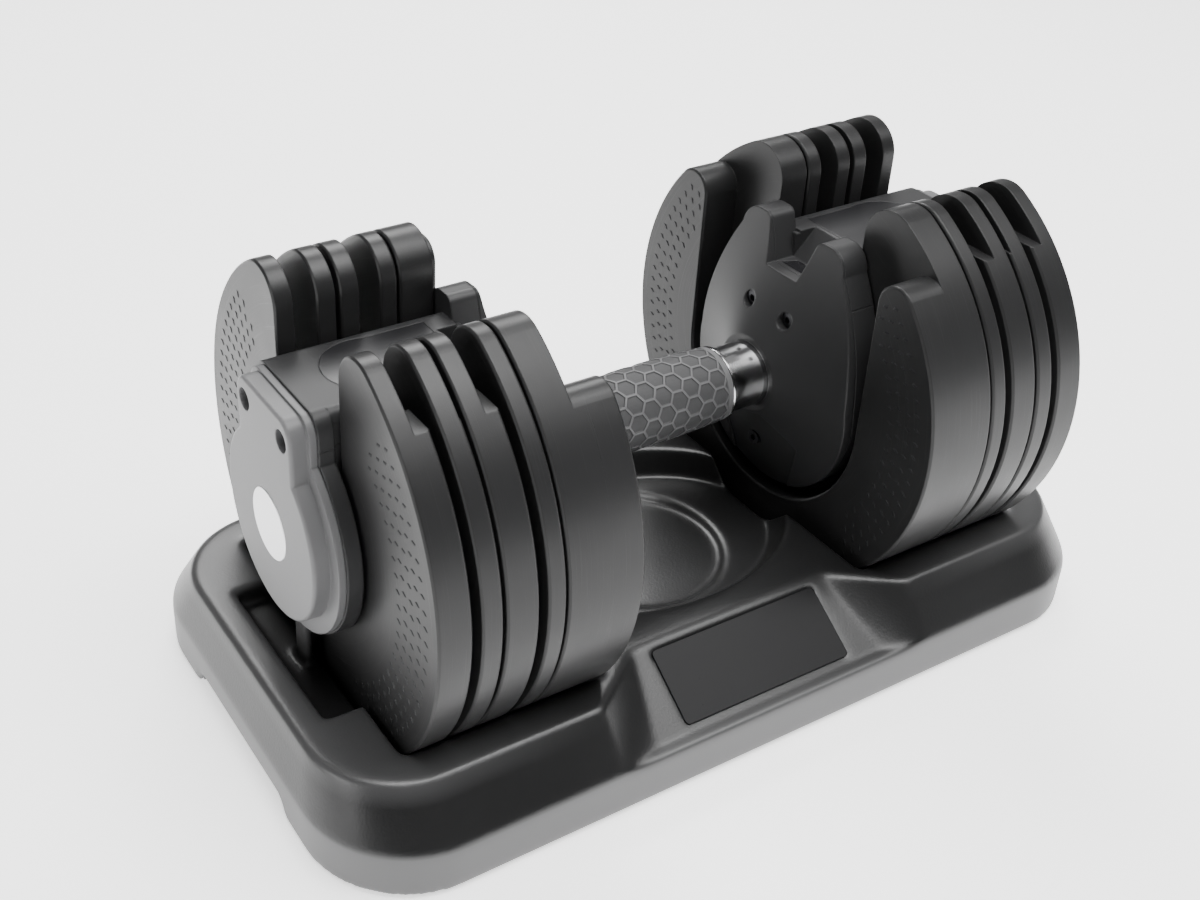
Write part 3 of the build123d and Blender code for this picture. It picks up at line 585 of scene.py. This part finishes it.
def number_mesh(number):
    text = bpy.data.curves.new("number", "FONT")
    text.body = str(number)
    text.size = NUMBER_SIZE
    text.align_x, text.align_y = "CENTER", "CENTER"
    text.resolution_u = 3
    holder = bpy.data.objects.new("number", text)
    bpy.context.scene.collection.objects.link(holder)
    mesh = bpy.data.meshes.new_from_object(holder.evaluated_get(bpy.context.evaluated_depsgraph_get()))
    shape = ([v.co.copy() for v in mesh.vertices], [tuple(p.vertices) for p in mesh.polygons])
    bpy.data.objects.remove(holder)
    return shape


for side in SIDES:
    sign = 1 if side == "right" else -1
    dial_low, dial_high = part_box(f"number_dial_{side}")
    rim_radius = (dial_high.y - dial_low.y) / 2 + NUMBER_LIFT
    middle_x = (dial_low.x + dial_high.x) / 2
    upright = Matrix(((0, sign, 0), (-sign, 0, 0), (0, 0, 1)))
    shapes = []
    for index, number in enumerate(SETTINGS):
        points, faces = number_mesh(number)
        placed = []
        for point in points:
            flat = upright @ point
            angle = flat.y / rim_radius
            bent = Vector((middle_x + flat.x, rim_radius * math.sin(angle),
                           rim_radius * math.cos(angle)))
            turned_back = Matrix.Rotation(-SETTING_STEP * index, 3, "X") @ bent
            placed.append(turned_back + Vector((0, 0, AXIS_Z)))
        shapes.append((placed, faces))
    add_piece(f"dial_numbers_{side}", mesh_of(f"dial_numbers_{side}", *join(*shapes)), "handle",
              "dial_plastic", number_ink)

# %% [markdown]
# ## The tray's soft edges
# The engineering model of the tray has crisp edges, while a moulded tray flows from face to face.
# Laying an even skin over a copy and relaxing it rounds every edge by a few millimetres, which a
# bevel on such crossing surfaces cannot do cleanly.
# %% Relaxed tray
SKIN_CELL = 1.3 * MM
RELAX_STEPS = 14


def relaxed_copy(node, name, cell, steps):
    copy = bpy.data.objects.new(name, nodes[node].data.copy())
    bpy.context.scene.collection.objects.link(copy)
    skin = copy.modifiers.new("skin", "REMESH")
    skin.mode, skin.voxel_size, skin.use_smooth_shade = "VOXEL", cell, True
    relax = copy.modifiers.new("relax", "SMOOTH")
    relax.factor, relax.iterations = 0.5, steps
    mesh = bpy.data.meshes.new_from_object(copy.evaluated_get(bpy.context.evaluated_depsgraph_get()))
    bpy.data.objects.remove(copy)
    mesh.name = name
    mesh.materials.clear()
    return mesh


tray_mesh = relaxed_copy("tray_shell", "tray_body", SKIN_CELL, RELAX_STEPS)
tray_piece = add_piece("tray_body", tray_mesh, "tray", "tray_plastic", tray_plastic)
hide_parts("tray_shell")

# %% [markdown]
# ## The studio
# A pale table, a surround that is bright behind and over the set and dark in front, and four
# large soft lights. Satin black shows what it reflects, so the dark front gives the rims their
# gradient: bright above from the light, dark in the middle, and light below from the table.
# %% Floor and lights
SKY_BEHIND, SKY_TOP, SKY_LEFT, SKY_FRONT = 2.6, 5.2, 0.2, 0.10
floor_finish = Finish("studio_floor", Base_Color=(0.95, 0.95, 0.95), Specular_IOR_Level=0.1,
                      Emission_Color=(1, 1, 1, 1), Emission_Strength=1.3)
floor_finish.set(Roughness=floor_finish.noise(3.0, 2.0) * 0.1 + 0.8)
floor_mesh = mesh_of("floor", [(-6, -6, 0), (6, -6, 0), (6, 6, 0), (-6, 6, 0)], [(0, 1, 2, 3)])
floor_mesh.materials.append(floor_finish.material)
floor = bpy.data.objects.new("floor", floor_mesh)
floor.location.z = cad_bounds[0].z - 0.0002
bpy.context.scene.collection.objects.link(floor)

world = bpy.data.worlds.new("studio")
world.use_nodes = True
sky = world.node_tree.nodes["Background"]
direction = world.node_tree.nodes.new("ShaderNodeTexCoord")
split = world.node_tree.nodes.new("ShaderNodeSeparateXYZ")
world.node_tree.links.new(direction.outputs["Generated"], split.inputs[0])


def sky_share(axis, low, high):
    """0 to 1 as the direction turns from one side to the other."""
    share = world.node_tree.nodes.new("ShaderNodeMapRange")
    share.inputs["From Min"].default_value, share.inputs["From Max"].default_value = low, high
    world.node_tree.links.new(split.outputs[axis], share.inputs["Value"])
    return share.outputs[0]


def sky_math(operation, first, second):
    sum_node = world.node_tree.nodes.new("ShaderNodeMath")
    sum_node.operation = operation
    for socket, value in zip(sum_node.inputs, (first, second)):
        if isinstance(value, float):
            socket.default_value = value
        else:
            world.node_tree.links.new(value, socket)
    return sum_node.outputs[0]


behind = sky_share("Y", -0.25, 0.35)
above = sky_math("MULTIPLY", sky_share("Z", 0.56, 0.80), SKY_TOP)
leftward = sky_math("MULTIPLY", sky_share("X", -0.35, -0.95), SKY_LEFT)
brightest = sky_math("MAXIMUM", sky_math("MULTIPLY", behind, SKY_BEHIND), above)
brightest = sky_math("MAXIMUM", brightest, leftward)
world.node_tree.links.new(sky_math("MAXIMUM", brightest, SKY_FRONT), sky.inputs["Strength"])
bpy.context.scene.world = world


def soft_light(name, place, aim, size, power):
    lamp = bpy.data.lights.new(name, "AREA")
    lamp.shape, lamp.size, lamp.size_y, lamp.energy = "RECTANGLE", size[0], size[1], power
    holder = bpy.data.objects.new(name, lamp)
    holder.location = place
    holder.rotation_euler = (Vector(aim) - Vector(place)).to_track_quat("-Z", "Y").to_euler()
    bpy.context.scene.collection.objects.link(holder)


soft_light("left_light", (-1.6, -0.2, 0.5), (0, 0, 0.08), (0.9, 0.6), 8)
soft_light("top_light", (0.1, -0.3, 1.8), (0, 0, 0.1), (1.4, 1.0), 50)
soft_light("back_light", (0.5, 1.3, 1.5), (0, 0, 0.15), (1.4, 0.7), 40)
soft_light("right_light", (0.75, -0.68, 1.35), (0, 0, 0.08), (0.9, 0.7), 11)
print("studio lit")
